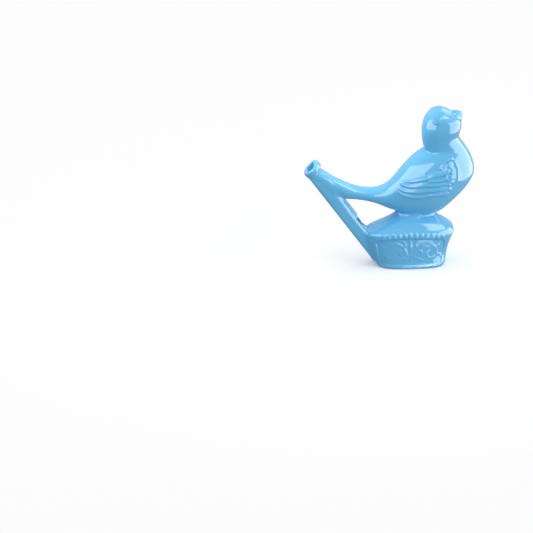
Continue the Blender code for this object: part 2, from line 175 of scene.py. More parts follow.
head = {
    # height, nape, throat, half width
    "rows": (
        (42.0, 19.5, 31.5, 5.4),
        (44.0, 18.0, 32.2, 5.9),
        (46.0, 16.2, 32.1, 6.2),
        (48.0, 14.5, 31.3, 6.4),
        (50.0, 13.5, 30.1, 6.6),
        (52.0, 13.1, 28.7, 6.9),
        (54.0, 12.9, 28.0, 7.35),
        (57.0, 12.9, 28.7, 7.85),
        (60.0, 13.5, 28.9, 7.65),
        (61.5, 14.1, 28.1, 7.35),
        (62.8, 15.0, 26.2, 6.8),
        (64.1, 16.2, 24.4, 5.75),
        (65.1, 17.5, 22.6, 4.0),
        (65.55, 18.6, 21.2, 2.3),
        (65.7, 19.4, 20.3, 0.5),
    ),
    "readings": 700,
    "throatPower": 2.15,
    "napePower": 2.5,
    # beak from inside the head to the tip: x, z, half height, half width
    "beak": (
        (21.5, 60.0, 2.6, 2.8),
        (24.5, 61.3, 2.8, 2.6),
        (27.0, 62.3, 2.3, 1.9),
        (28.5, 62.9, 1.5, 1.2),
        (29.1, 63.1, 0.7, 0.6),
        (29.3, 63.2, 0.1, 0.1),
    ),
    "beakReadings": 200,
    "beakPower": 2.0,
    "beakLean": math.radians(20.0),
    "beakRounds": 4,
}


def headDistance(x, y, z):
    # Head: at each height an oval between nape and throat.
    rows = splineRows(head["rows"], head["readings"])
    nape, throat, half = lookUp(rows, z)
    middle, reach = 0.5 * (nape + throat), np.maximum(0.5 * (throat - nape), thinnest)
    ahead = x - middle
    front = ovalDistance(ahead, y, reach, half, head["throatPower"])
    rear = ovalDistance(ahead, y, reach, half, head["napePower"])
    side = np.where(ahead > 0, front, rear)
    return np.maximum(side, np.maximum(z - rows[-1, 0], rows[0, 0] - z))


def beakDistance(x, y, z):
    # Beak: leaning oval rings whose middle climbs towards the tip. The ring that a point
    # belongs to is found by a few rounds of substitution.
    rows = smoothRows(head["beak"], head["beakReadings"])
    lean = head["beakLean"]
    ringX = x
    for _ in range(head["beakRounds"]):
        middleZ = np.interp(ringX, rows[:, 0], rows[:, 1])
        up = (z - middleZ) / math.cos(lean)
        ringX = x + up * math.sin(lean)
    high, wide = lookUp(rows, ringX)[1:]
    side = ovalDistance(up, y, high, wide, head["beakPower"])
    return np.maximum(side, np.maximum(ringX - rows[-1, 0], rows[0, 0] - ringX))


eye = {
    "low": (14.0, 58.5),
    "high": (23.5, 67.0),
    "step": 0.1,
    "centre": (18.4, 63.0),
    "radius": 2.1,
    "edge": 0.8,
    "rise": 0.58,
    "turn": math.radians(225.0),  # towards its high side
    "flank": (1.0, 3.0),  # mm from the seam over which it sets in
}


def eyeHeight(x, z):
    # A round disc that stands out at its lower left and runs out into the head at its upper
    # right: so far along the turn, from 0 to 1 across the disc, times the rise.
    ahead, up = (x - eye["centre"][0]) / eye["radius"], (z - eye["centre"][1]) / eye["radius"]
    slope = 0.5 + 0.5 * (ahead * math.cos(eye["turn"]) + up * math.sin(eye["turn"]))
    disc = smoothStep(1.0, eye["edge"], np.hypot(ahead, up))
    return eye["rise"] * np.clip(slope, 0.0, 1.0) * disc


tank = {
    # height, left end, right end, half width, power of the oval
    "rows": (
        (0.0, -4.6, 21.0, 8.4, 3.2),
        (0.3, -5.3, 21.7, 8.85, 3.2),
        (1.3, -6.0, 22.3, 9.0, 3.2),
        (5.0, -7.7, 22.8, 9.05, 3.2),
        (9.0, -9.0, 23.8, 9.25, 3.2),
        (12.5, -9.8, 25.2, 9.5, 3.2),
        (14.2, -9.6, 25.8, 9.6, 3.2),
        (15.7, -7.2, 25.2, 9.3, 3.1),
        (17.2, -4.2, 23.5, 8.3, 2.9),
        (18.6, -1.8, 21.6, 7.3, 2.6),
        (19.8, -0.1, 19.9, 6.0, 2.3),
        (21.1, 1.5, 18.0, 4.9, 2.1),
        (22.5, 2.6, 16.8, 4.4, 2.0),
        (24.5, 3.4, 16.2, 4.3, 2.0),
    ),
    "readings": 500,
}


def tankDistance(x, y, z):
    # Water tank: at each height a squarish oval, rounder towards the neck.
    rows = smoothRows(tank["rows"], tank["readings"])
    left, right, half, power = lookUp(rows, z)
    side = ovalDistance(x - 0.5 * (left + right), y, 0.5 * (right - left), half, power)
    return np.maximum(side, z - rows[-1, 0])


tube = {
    "mouth": (-32.05, 41.6),
    "fall": math.radians(54.0),
    "halfWidth": 4.0,
    "edges": (1.2, 2.1),  # rounding of the lower and upper edges
    "edgeShare": 0.45,  # most that a rounding takes of the height
    "readings": 300,
    # along the tube, underside, upper side
    "rows": (
        (1.6, -2.8, 1.6),
        (6.0, -2.85, 2.2),
        (12.5, -2.85, 2.9),
        (20.0, -2.85, 3.05),
        (30.0, -2.85, 3.05),
        (38.0, -2.85, 3.05),
        (46.5, -2.85, 2.9),
    ),
    "flangeFall": math.radians(45.0),
    "flangeHalf": (4.9, 3.85),
    "flangeLength": 2.5,
    "flangeRound": 0.7,
    "flangePower": 2.2,
    # along the tube, floor, roof, half width
    "windway": (
        (-1.6, -1.75, 1.75, 3.3),
        (1.0, -1.65, 1.65, 3.2),
        (8.0, -1.0, 1.1, 2.9),
        (14.0, 0.1, 1.8, 2.8),
        (28.6, 0.8, 2.0, 2.6),
    ),
    "windwayEdge": 1.2,
}


def alongTube(x, z, fall):
    # Distance down the tube's line from the mouth, and height above that line.
    dx, dz = x - tube["mouth"][0], z - tube["mouth"][1]
    return dx * math.cos(fall) - dz * math.sin(fall), dx * math.sin(fall) + dz * math.cos(fall)


def roundedCorner(p, q, radius):
    # The inside of two faces at once, given the distance past each, with their edge rounded off.
    a, b = p + radius, q + radius
    return np.hypot(np.maximum(a, 0), np.maximum(b, 0)) + np.minimum(np.maximum(a, b), 0) - radius


def roundedBox(p, q, halfP, halfQ, radius):
    # Signed distance to a rectangle with rounded corners.
    return roundedCorner(np.abs(p) - halfP, np.abs(q) - halfQ, radius)


def tubeDistance(x, y, z):
    # Tube: a box with rounded edges between its underside and its upper side.
    rows = smoothRows(tube["rows"], tube["readings"])
    t, up = alongTube(x, z, tube["fall"])
    low, top = lookUp(rows, t)
    rise = up - 0.5 * (low + top)
    lowEdge, topEdge = tube["edges"]
    edge = np.minimum(np.where(rise > 0, topEdge, lowEdge), tube["edgeShare"] * (top - low))
    side = roundedBox(y, rise, tube["halfWidth"], 0.5 * (top - low), edge)
    return np.maximum(side, np.maximum(t - rows[-1, 0], rows[0, 0] - t))


def flangeDistance(x, y, z):
    # Lip round the mouth: an oval disc with rounded rims.
    t, up = alongTube(x, z, tube["flangeFall"])
    wide, high = tube["flangeHalf"]
    side = ovalDistance(y, up, wide, high, tube["flangePower"])
    half = 0.5 * tube["flangeLength"]
    return roundedCorner(side, np.abs(t - half) - half, tube["flangeRound"])


def windwayDistance(x, y, z):
    # Windway: a flat channel with rounded edges that narrows towards the window.
    rows = smoothRows(tube["windway"], tube["readings"])
    t, up = alongTube(x, z, tube["fall"])
    low, top, half = lookUp(rows, t)
    edge = np.minimum(tube["windwayEdge"], tube["edgeShare"] * (top - low))
    side = roundedBox(y, up - 0.5 * (low + top), half, 0.5 * (top - low), edge)
    return np.maximum(side, np.maximum(t - rows[-1, 0], rows[0, 0] - t))


window = {
    "halfWidth": 2.7,
    # corners, each along the tube and above its line: the notch across the whole tube, and under
    # it the slot, the throat and the ramp of the lip
    "notch": ((28.2, 5.05), (28.2, 2.25), (33.4, 2.25), (35.5, 3.1), (35.8, 5.05)),
    "slot": (
        (28.25, 5.15),
        (28.25, -1.65),
        (45.0, -1.65),
        (45.0, 1.9),
        (36.0, 1.9),
        (32.4, 1.38),
        (32.4, 1.4),
        (35.7, 3.0),
        (36.0, 5.15),
    ),
}


def outlineDistance(p, q, corners):
    # Signed distance to a closed outline of straight lines, negative inside: the nearest of its
    # edges, with the sign from how often a ray crosses them.
    best = np.full(np.shape(p), np.inf)
    inside = np.zeros(np.shape(p), dtype=bool)
    for (ax, ay), (bx, by) in zip(corners, corners[1:] + corners[:1]):
        ex, ey = bx - ax, by - ay
        share = np.clip(((p - ax) * ex + (q - ay) * ey) / (ex * ex + ey * ey), 0.0, 1.0)
        best = np.minimum(best, np.hypot(p - ax - share * ex, q - ay - share * ey))
        crosses = ((ay > q) != (by > q)) & (p < ex * (q - ay) / (ey or tiny) + ax)
        inside ^= crosses
    return np.where(inside, -best, best)


def windowDistance(x, y, z):
    # The notch, joined with the slot, which stops at its half width.
    t, up = alongTube(x, z, tube["fall"])
    slot = np.maximum(outlineDistance(t, up, window["slot"]), np.abs(y) - window["halfWidth"])
    return np.minimum(outlineDistance(t, up, window["notch"]), slot)


def strokeSide(x, z, rows, count):
    # A drawn line of changing width: the distance to the smooth line through the rows (x, z,
    # half width), over the half width there, so 0 on the line and 1 along its edge. It is minus
    # to the left of the line and plus to its right, the way it is drawn.
    line = smoothRows(rows, count)
    best, side = np.full(np.shape(x), farOff), np.ones(np.shape(x))
    for (ax, az, aw), (bx, bz, bw) in zip(line[:-1], line[1:]):
        ex, ez = bx - ax, bz - az
        share = np.clip(((x - ax) * ex + (z - az) * ez) / (ex * ex + ez * ez), 0.0, 1.0)
        away = np.hypot(x - ax - share * ex, z - az - share * ez) / (aw + share * (bw - aw))
        turn = np.where((x - ax) * ez - (z - az) * ex > 0, 1.0, -1.0)
        side = np.where(away < best, turn, side)
        best = np.minimum(best, away)
    return best * side


def strokeRadius(x, z, rows, count):
    # The same without its side.
    return np.abs(strokeSide(x, z, rows, count))


def leaning(side, crest, power):
    # Ridge that is highest a share of its half width off the line and falls away from there to
    # both edges: 1 less the power of how far towards the edge a point lies.
    away = np.abs(side - crest) / np.where(side < crest, 1.0 + crest, 1.0 - crest)
    return np.clip(1.0 - away**power, 0.0, 1.0)


def crowned(radius, power):
    # Rounded ridge: 1 on the line, 0 at its edge and beyond.
    return np.clip(1.0 - radius**power, 0.0, 1.0)


wing = {
    "low": (0.0, 27.0),
    "high": (31.0, 49.0),
    "step": 0.1,
    "ridgePower": 1.35,
    "ridgeCrest": -0.45,  # below the middle, as each feather lies over the next one down
    # long feathers, each from under the small ones to its tip: x, z, half width
    "primaries": (
        (
            (18.0, 39.4, 0.9),
            (14.5, 39.0, 1.05),
            (12.0, 38.5, 1.1),
            (8.5, 37.6, 0.95),
            (6.8, 37.3, 0.75),
            (5.6, 37.1, 0.4),
        ),
        (
            (18.0, 37.0, 1.0),
            (14.5, 36.5, 1.2),
            (12.0, 36.05, 1.3),
            (8.0, 35.4, 1.0),
            (5.6, 35.6, 0.75),
            (4.1, 35.8, 0.4),
        ),
        (
            (18.0, 34.6, 1.0),
            (14.5, 33.9, 1.2),
            (12.0, 33.4, 1.3),
            (8.0, 33.2, 1.05),
            (5.4, 33.3, 0.8),
            (3.5, 33.9, 0.4),
        ),
        (
            (18.0, 32.2, 0.9),
            (14.5, 31.4, 1.0),
            (12.0, 31.0, 1.0),
            (8.0, 31.0, 1.0),
            (5.2, 31.5, 0.75),
            (3.2, 32.5, 0.35),
        ),
    ),
    "primaryReadings": 16,
    "primaryRise": 0.6,
    "rootFade": (17.5, 14.0),  # the long feathers sink under the small ones between these X
    "rootShare": 0.35,  # of their height that is left there
    "coverts": (
        ((22.4, 41.2, 1.0), (19.0, 40.5, 1.25), (16.8, 39.9, 1.1), (15.6, 39.5, 0.8)),
        ((22.8, 38.6, 0.8), (19.0, 38.2, 0.9), (16.4, 38.0, 0.9), (15.2, 37.8, 0.7)),
        ((23.2, 36.4, 0.85), (19.5, 36.3, 1.0), (16.3, 36.1, 1.0), (15.0, 35.9, 0.8)),
        ((23.4, 34.3, 0.85), (19.8, 34.3, 1.0), (16.7, 33.9, 1.0), (15.4, 33.6, 0.8)),
        ((22.6, 32.4, 0.8), (19.6, 32.2, 1.0), (17.2, 31.8, 0.9), (16.0, 31.5, 0.7)),
    ),
    "covertReadings": 12,
    "covertRise": 0.4,
    "covertStep": 0.32,
    "covertEdge": 0.7,  # share of the half width outside which the step falls away
    # rim round the shoulder
    "rim": (
        (20.0, 43.2, 0.4),
        (21.2, 44.8, 0.42),
        (22.8, 46.0, 0.45),
        (24.6, 46.3, 0.5),
        (26.1, 45.2, 0.7),
        (27.0, 43.1, 0.9),
        (27.5, 40.3, 1.1),
        (27.3, 37.4, 1.1),
        (26.3, 35.0, 0.95),
        (24.8, 33.0, 0.8),
        (22.8, 31.6, 0.6),
        (20.8, 30.9, 0.4),
    ),
    "rimReadings": 40,
    "rimRise": 0.7,
    "rimCrest": 0.65,  # how far towards its inner side the rim is highest
    # short bright edges that step down the shoulder's left side
    "edges": (
        ((19.95, 43.0, 0.45), (21.5, 40.8, 0.5)),
        ((22.1, 40.4, 0.52), (21.8, 38.0, 0.5)),
        ((22.7, 37.6, 0.42), (24.6, 36.9, 0.4)),
        ((24.7, 36.6, 0.4), (23.4, 35.0, 0.46), (22.0, 33.7, 0.4)),
        ((25.4, 35.0, 0.36), (24.2, 33.8, 0.42), (23.0, 32.9, 0.36)),
    ),
    "edgeReadings": 6,
    "edgeRise": 0.6,
    # flat ground inside the rim: x, z, half width, half height
    "ground": (24.2, 40.4, 3.0, 5.2),
    "groundRise": 0.25,
    "groundEdge": (1.05, 0.9),
    # small round feathers on it: x, z, radius
    "scales": (
        (24.4, 37.7, 1.0),
        (24.7, 39.4, 1.35),
        (24.8, 41.6, 1.35),
        (23.2, 42.2, 1.1),
        (23.8, 44.2, 1.3),
    ),
    "scaleRise": 0.75,
    "scaleTilt": (0.5, 0.35, 0.15),  # share in the middle, and how much lower right and above
    "scaleDome": 0.4,  # share of the height that rounds off towards the edge
}


def wingHeight(x, z):
    # Each row of feathers is a set of ridges that meet in grooves, and the next row lies a step
    # higher over its roots.
    height = np.zeros(np.shape(x))
    ridgeForm = wing["ridgeCrest"], wing["ridgePower"]
    for rows in wing["primaries"]:
        ridge = leaning(strokeSide(x, z, rows, wing["primaryReadings"]), *ridgeForm)
        ridge *= wing["rootShare"] + (1.0 - wing["rootShare"]) * smoothStep(*wing["rootFade"], x)
        height = np.maximum(height, wing["primaryRise"] * ridge)
    for rows in wing["coverts"]:
        side = strokeSide(x, z, rows, wing["covertReadings"])
        lifted = wing["covertStep"] * smoothStep(1.0, wing["covertEdge"], np.abs(side))
        lifted += wing["covertRise"] * leaning(side, *ridgeForm)
        height = np.maximum(height, lifted)
    # The ground is an oval step, and each small feather a disc on it that is lower on its right.
    cx, cz, wide, high = wing["ground"]
    step = smoothStep(*wing["groundEdge"], np.hypot((x - cx) / wide, (z - cz) / high))
    height = np.maximum(height, wing["groundRise"] * step)
    middle, lowerRight, lowerAbove = wing["scaleTilt"]
    for cx, cz, size in wing["scales"]:
        p, q = (x - cx) / size, (z - cz) / size
        away = np.hypot(p, q)
        dome = 1.0 - wing["scaleDome"] + wing["scaleDome"] * crowned(away, 2.0)
        scale = wing["scaleRise"] * (middle - lowerRight * p - lowerAbove * q) * dome
        height = np.where(away < 1.0, wing["groundRise"] + scale, height)
    for rows in wing["edges"]:
        radius = strokeRadius(x, z, rows, wing["edgeReadings"])
        height = np.maximum(height, wing["edgeRise"] * crowned(radius, 2.0))
    # The rim climbs evenly from both of its sides to a crest.
    rim, crest = strokeSide(x, z, wing["rim"], wing["rimReadings"]), wing["rimCrest"]
    slope = np.minimum((rim + 1.0) / (1.0 + crest), (1.0 - rim) / (1.0 - crest))
    return np.maximum(height, wing["rimRise"] * np.clip(slope, 0.0, 1.0))


panel = {
    "low": (-10.0, -0.5),
    "high": (27.0, 18.0),
    "step": 0.1,
    "middle": 7.8,
    "top": (13.3, 1.2),  # height in the middle, and how far it falls to the ends
    "bottom": (0.4, -0.3),
    "halfLength": (12.3, 14.4),  # at the bottom and at the top
    "corner": 1.6,
    "depth": 0.5,
    "wall": 0.5,
    "hollow": (0.28, 3.6),  # how much deeper the field is at its upper edge, and over what height
    "sill": 1.6,  # height over which the field's lower edge rises to the border
    "tongueStep": 2.2,
    "tongueTop": 15.2,
    "tongueLow": 14.1,
    "tongueFall": 1.1,
    "tongueHalf": 0.8,
    "tongueRise": 0.24,
    "tonguePower": 2.4,
    "tongueGap": 0.3,  # how much lower the skin is beside a tongue
    "gapReach": 1.5,
    "tongueEnds": (-13.5, -11.5),  # the row dies out here, under the tube
    "tongues": 6,
    "flank": (4.0, 6.0),  # mm from the seam over which the relief sets in
    # leaf scroll, mirrored about the middle: distance from the middle, height, half width
    "scroll": (
        ((0.0, 3.3, 0.3), (0.0, 7.6, 0.9), (0.0, 12.2, 0.25)),
        (
            (0.9, 5.2, 0.3),
            (3.0, 9.4, 0.42),
            (6.6, 11.0, 0.42),
            (10.2, 9.0, 0.4),
            (10.4, 5.6, 0.36),
            (8.0, 4.4, 0.34),
            (6.6, 6.2, 0.32),
            (7.9, 7.4, 0.3),
        ),
        ((2.6, 9.2, 0.25), (2.2, 10.6, 0.55), (3.0, 12.0, 0.2)),
        ((10.4, 9.0, 0.25), (12.0, 10.0, 0.55), (12.9, 11.5, 0.2)),
        ((10.6, 6.0, 0.25), (12.0, 5.4, 0.5), (12.6, 3.7, 0.2)),
        ((3.2, 8.4, 0.25), (4.4, 7.2, 0.55), (4.4, 5.4, 0.2)),
        ((1.2, 4.6, 0.2), (3.0, 4.4, 0.5), (5.2, 3.3, 0.2)),
    ),
    "scrollReadings": 24,
    "scrollRise": 0.15,
    "scrollEdge": (0.1, 0.6),
}


def panelHeight(x, z):
    # Sunk field with rounded corners on the tank's flank, a leaf scroll in it, and a row of
    # hanging tongues over it.
    p = x - panel["middle"]
    high, fall = panel["top"]
    low, lowFall = panel["bottom"]
    narrow, wide = panel["halfLength"]
    half = narrow + (wide - narrow) * (z - low) / (high - low)
    bend = (p / half) ** 2
    inside = softMin(high - fall * bend - z, z - low + lowFall * bend, panel["corner"])
    inside = softMin(inside, half - np.abs(p), panel["corner"])
    deeper, over = panel["hollow"]
    depth = panel["depth"] + deeper * np.clip(1.0 - (high - fall * bend - z) / over, 0.0, 1.0)
    height = -depth * smoothStep(0.0, panel["wall"], inside)
    height *= smoothStep(0.0, panel["sill"], z - low + lowFall * bend)
    leaves = np.zeros(np.shape(x))
    for rows in panel["scroll"]:
        radius = strokeRadius(np.abs(p), z, rows, panel["scrollReadings"])
        leaves = np.maximum(leaves, crowned(radius, 2.0))
    height += panel["scrollRise"] * leaves * smoothStep(*panel["scrollEdge"], inside)
    fade = smoothStep(*panel["tongueEnds"], p)
    for k in range(-panel["tongues"], panel["tongues"] + 1):
        at = k * panel["tongueStep"]
        drop = panel["tongueFall"] * (at / narrow) ** 2
        ends = panel["tongueTop"] - drop, panel["tongueLow"] - drop
        radius = strokeRadius(p, z, [(at, end, panel["tongueHalf"]) for end in ends], 2)
        gap = panel["tongueGap"] * smoothStep(panel["gapReach"], 1.0, radius) * (radius > 1.0)
        height += panel["tongueRise"] * (crowned(radius, panel["tonguePower"]) - gap) * fade
    return height


mapRounds = 2


def makeMap(piece, height):
    # Relief as a lattice of heights, lightly smoothed as a mould's edges are: each value becomes
    # half itself and a quarter of either neighbour, along X and then along Z.
    (lowX, lowZ), (highX, highZ), step = piece["low"], piece["high"], piece["step"]
    grid = np.meshgrid(np.arange(lowX, highX, step), np.arange(lowZ, highZ, step), indexing="ij")
    values = height(*grid)
    for _ in range(mapRounds):
        for axis in (0, 1):
            beside = np.roll(values, 1, axis) + np.roll(values, -1, axis)
            values = 0.5 * values + 0.25 * beside
    return {"low": piece["low"], "step": step, "values": values}


def readMap(lattice, x, z):
    # Bilinear reading of the lattice. Past its edge the edge value holds, which is level skin.
    values = lattice["values"]
    u = (x - lattice["low"][0]) / lattice["step"]
    v = (z - lattice["low"][1]) / lattice["step"]
    i = np.clip(np.floor(u).astype(int), 0, values.shape[0] - 2)
    j = np.clip(np.floor(v).astype(int), 0, values.shape[1] - 2)
    s, t = np.clip(u - i, 0.0, 1.0), np.clip(v - j, 0.0, 1.0)
    return (
        (1 - s) * (1 - t) * values[i, j]
        + s * (1 - t) * values[i + 1, j]
        + (1 - s) * t * values[i, j + 1]
        + s * t * values[i + 1, j + 1]
    )


eyeMap = makeMap(eye, eyeHeight)
wingMap = makeMap(wing, wingHeight)
panelMap = makeMap(panel, panelHeight)
print("stage: relief drawn")

fillets = {
    "beak": 1.6,
    "neck": 0.7,
    "tank": 1.4,
    "flange": 0.7,
    "pipe": 1.6,
    "windway": 0.3,
    "window": 0.25,
}


def skinDistance(x, y, z):
    # The whole outside: every form joined with its own fillet, and the relief added to the
    # flanks by taking its height from the distance.
    body = birdDistance(x, y, z) - readMap(wingMap, x, z)
    crown = softMin(headDistance(x, y, z), beakDistance(x, y, z), fillets["beak"])
    crown = crown - readMap(eyeMap, x, z) * smoothStep(*eye["flank"], np.abs(y))
    pipe = softMin(tubeDistance(x, y, z), flangeDistance(x, y, z), fillets["flange"])
    box = tankDistance(x, y, z) - readMap(panelMap, x, z) * smoothStep(*panel["flank"], np.abs(y))
    joined = softMin(body, crown, fillets["neck"])
    joined = softMin(joined, box, fillets["tank"])
    whole = softMin(joined, pipe, fillets["pipe"])
    return np.maximum(whole, -z)


def shellDistance(x, y, z):
    # The outside with the windway and the window cut out.
    solid = skinDistance(x, y, z)
    solid = softMax(solid, -windwayDistance(x, y, z), fillets["windway"])
    return softMax(solid, -windowDistance(x, y, z), fillets["window"])


mesher = {
    "cell": 0.3,
    "seam": 0.01,  # from the middle plane to each half's flat face
    "low": (-35.2, -1.0),
    "high": (35.2, 67.0),
    "halfWidth": 11.6,
    "probe": 0.02,  # half the length over which a slope is measured
    "leastSlope": 0.05,  # squared, so that a flat spot makes no leap
    "longestMove": 0.2,
    "rounds": 3,
    "seamRounds": 4,
    "flatness": 1e-5,  # a seam point that lies nearer than this needs no more fitting
    "rimReach": 0.9,  # cells from the outline within which a seam point belongs to it
    "sharpAngle": math.radians(50.0),
}


def netSurface(distance, axes):
    # Surface net: one vertex in each grid cell that the skin passes through, at the mean of the
    # points where it crosses the cell's edges, and one quad round each grid edge that it crosses.
    xs, ys, zs = axes
    grid = np.stack(np.meshgrid(xs, ys, zs, indexing="ij"))
    field = distance(*grid)
    inside = field < 0
    shape = np.array(field.shape) - 1
    total = np.zeros(tuple(shape) + (3,))
    hits = np.zeros(tuple(shape))
    ends = slice(0, -1), slice(1, None)
    for axis in range(3):
        for first in ends:
            for second in ends:
                near, far = [first, second], [first, second]
                near.insert(axis, ends[0])
                far.insert(axis, ends[1])
                near, far = tuple(near), tuple(far)
                a, b = field[near], field[far]
                crossed = inside[near] != inside[far]
                share = np.where(crossed, a / np.where(crossed, a - b, 1.0), 0.0)
                low = np.stack([grid[k][near] for k in range(3)], -1)
                high = np.stack([grid[k][far] for k in range(3)], -1)
                total += np.where(crossed[..., None], low + (high - low) * share[..., None], 0.0)
                hits += crossed
    used = hits > 0
    number = np.full(hits.shape, -1)
    number[used] = np.arange(used.sum())
    points = total[used] / hits[used][:, None]
    faces = []
    for axis in range(3):
        b, c = (axis + 1) % 3, (axis + 2) % 3
        inner = [slice(1, -1)] * 3
        inner[axis] = ends[0]
        outer = list(inner)
        outer[axis] = ends[1]
        start, stop = inside[tuple(inner)], inside[tuple(outer)]
        cells = []
        for stepB, stepC in ((0, 0), (1, 0), (1, 1), (0, 1)):
            pick = [slice(None)] * 3
            pick[b], pick[c] = ends[stepB], ends[stepC]
            cells.append(number[tuple(pick)])
        faces.append(np.stack([cell[start & ~stop] for cell in cells], -1))
        faces.append(np.stack([cell[stop & ~start] for cell in cells[::-1]], -1))
    return points, np.concatenate(faces)


def settle(points, distance, rounds):
    # Newton steps along the gradient, so that every vertex lies on the skin itself.
    step, longest = mesher["probe"], mesher["longestMove"]
    for _ in range(rounds):
        x, y, z = points.T
        value = distance(x, y, z)
        slope = np.stack(
            (
                distance(x + step, y, z) - distance(x - step, y, z),
                distance(x, y + step, z) - distance(x, y - step, z),
                distance(x, y, z + step) - distance(x, y, z - step),
            ),
            -1,
        ) / (2 * step)
        size = np.maximum((slope**2).sum(-1), mesher["leastSlope"])
        move = slope * (value / size)[:, None]
        length = np.linalg.norm(move, axis=1)
        points = points - move * (longest / np.maximum(length, longest))[:, None]
    return points


def halfPoints():
    # One half moulding on the side of positive Y, closed by a flat face at the seam.
    cell, seam = mesher["cell"], mesher["seam"]
    xs = np.arange(mesher["low"][0], mesher["high"][0], cell)
    zs = np.arange(mesher["low"][1], mesher["high"][1], cell)
    ys = np.arange(seam - 0.5 * cell, mesher["halfWidth"], cell)

    def closed(x, y, z):
        return np.maximum(shellDistance(x, y, z), seam - y)

    def onSeam(x, y, z):
        return shellDistance(x, np.full(np.shape(x), seam), z)

    points, faces = netSurface(closed, (xs, ys, zs))
    atSeam = points[:, 1] < seam + 0.5 * cell
    near = np.abs(onSeam(*points.T)) < mesher["rimReach"] * cell
    rim = atSeam & near & (points[:, 1] > seam + mesher["flatness"])
    points[~atSeam] = settle(points[~atSeam], shellDistance, mesher["rounds"])
    points[atSeam, 1] = seam
    points[rim] = settle(points[rim], onSeam, mesher["seamRounds"])
    points[:, 1] = np.maximum(points[:, 1], seam)
    return points, faces


def makeHalf(name, side, points, faces):
    placed = (points + np.array((gridShift, 0.0, 0.0))) * np.array((mm, side * mm, mm))
    turned = faces if side > 0 else faces[:, ::-1]
    mesh = bpy.data.meshes.new(name)
    mesh.from_pydata(placed.tolist(), [], turned.tolist())
    mesh.validate()
    mesh.update()
    mesh.shade_smooth()
    mesh.set_sharp_from_angle(angle=mesher["sharpAngle"])
    piece = bpy.data.objects.new(name, mesh)
    bpy.context.scene.collection.objects.link(piece)
    return piece


plastic = {
    "colour": (0.112, 0.5, 0.86, 1.0),
    "paleColour": (0.15, 0.55, 0.9, 1.0),
    "roughness": 0.075,
    "roughnessSpread": 0.05,
    "cloudScale": 60.0,  # soft clouding, per metre
    "cloudDetail": 3.0,
    "rippleScale": 260.0,  # slow waves of the moulded skin
    "rippleDetail": 1.0,
    "rippleHeight": 0.000004,
}


def mouldedSkin():
    # What every moulded surface here shares: faint clouds in the colour, uneven gloss, and the
    # slow ripple of a moulded skin.
    group = bpy.data.node_groups.new("mouldedSkin", "ShaderNodeTree")
    socket = group.interface.new_socket
    for name, kind in (("Colour", "NodeSocketColor"), ("Pale Colour", "NodeSocketColor")):
        socket(name=name, in_out="INPUT", socket_type=kind)
    for name in ("Roughness", "Roughness Spread", "Cloud Scale", "Ripple Scale", "Ripple Height"):
        socket(name=name, in_out="INPUT", socket_type="NodeSocketFloat")
    socket(name="Colour", in_out="OUTPUT", socket_type="NodeSocketColor")
    socket(name="Roughness", in_out="OUTPUT", socket_type="NodeSocketFloat")
    socket(name="Normal", in_out="OUTPUT", socket_type="NodeSocketVector")
    nodes, link = group.nodes, group.links.new
    given = nodes.new("NodeGroupInput").outputs
    made = nodes.new("NodeGroupOutput").inputs
    place = nodes.new("ShaderNodeTexCoord").outputs["Object"]
    clouds = nodes.new("ShaderNodeTexNoise")
    clouds.inputs["Detail"].default_value = plastic["cloudDetail"]
    link(place, clouds.inputs["Vector"])
    link(given["Cloud Scale"], clouds.inputs["Scale"])
    blend = nodes.new("ShaderNodeMix")
    blend.data_type = "RGBA"
    link(clouds.outputs["Fac"], blend.inputs["Factor"])
    link(given["Colour"], blend.inputs["A"])
    link(given["Pale Colour"], blend.inputs["B"])
    link(blend.outputs["Result"], made["Colour"])
    spread = nodes.new("ShaderNodeMath")
    spread.operation = "MULTIPLY_ADD"
    link(clouds.outputs["Fac"], spread.inputs[0])
    link(given["Roughness Spread"], spread.inputs[1])
    link(given["Roughness"], spread.inputs[2])
    link(spread.outputs["Value"], made["Roughness"])
    ripple = nodes.new("ShaderNodeTexNoise")
    ripple.inputs["Detail"].default_value = plastic["rippleDetail"]
    link(place, ripple.inputs["Vector"])
    link(given["Ripple Scale"], ripple.inputs["Scale"])
    bump = nodes.new("ShaderNodeBump")
    bump.inputs["Strength"].default_value = 1.0
    link(given["Ripple Height"], bump.inputs["Distance"])
    link(ripple.outputs["Fac"], bump.inputs["Height"])
    link(bump.outputs["Normal"], made["Normal"])
    return group


def plasticMaterial(name, skin):
    material = bpy.data.materials.new(name)
    material.use_nodes = True
    tree = material.node_tree
    shader = tree.nodes["Principled BSDF"]
    shader.inputs["IOR"].default_value = 1.5
    node = tree.nodes.new("ShaderNodeGroup")
    node.node_tree = skin
    for socket, key in (
        ("Colour", "colour"),
        ("Pale Colour", "paleColour"),
        ("Roughness", "roughness"),
        ("Roughness Spread", "roughnessSpread"),
        ("Cloud Scale", "cloudScale"),
        ("Ripple Scale", "rippleScale"),
        ("Ripple Height", "rippleHeight"),
    ):
        node.inputs[socket].default_value = plastic[key]
    tree.links.new(node.outputs["Colour"], shader.inputs["Base Color"])
    tree.links.new(node.outputs["Roughness"], shader.inputs["Roughness"])
    tree.links.new(node.outputs["Normal"], shader.inputs["Normal"])
    return material


points, faces = halfPoints()
print("stage: half moulding of", len(points), "points and", len(faces), "quads")
gloss = plasticMaterial("blueStyrene", mouldedSkin())
for name, side, node in (
    ("rightHalf", -1, "right_half_shell"),
    ("leftHalf", 1, "left_half_shell"),
):
    piece = makeHalf(name, side, points, faces)
    piece.data.materials.append(gloss)
    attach(piece, "root")
    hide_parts(node)
print("stage: halves made")


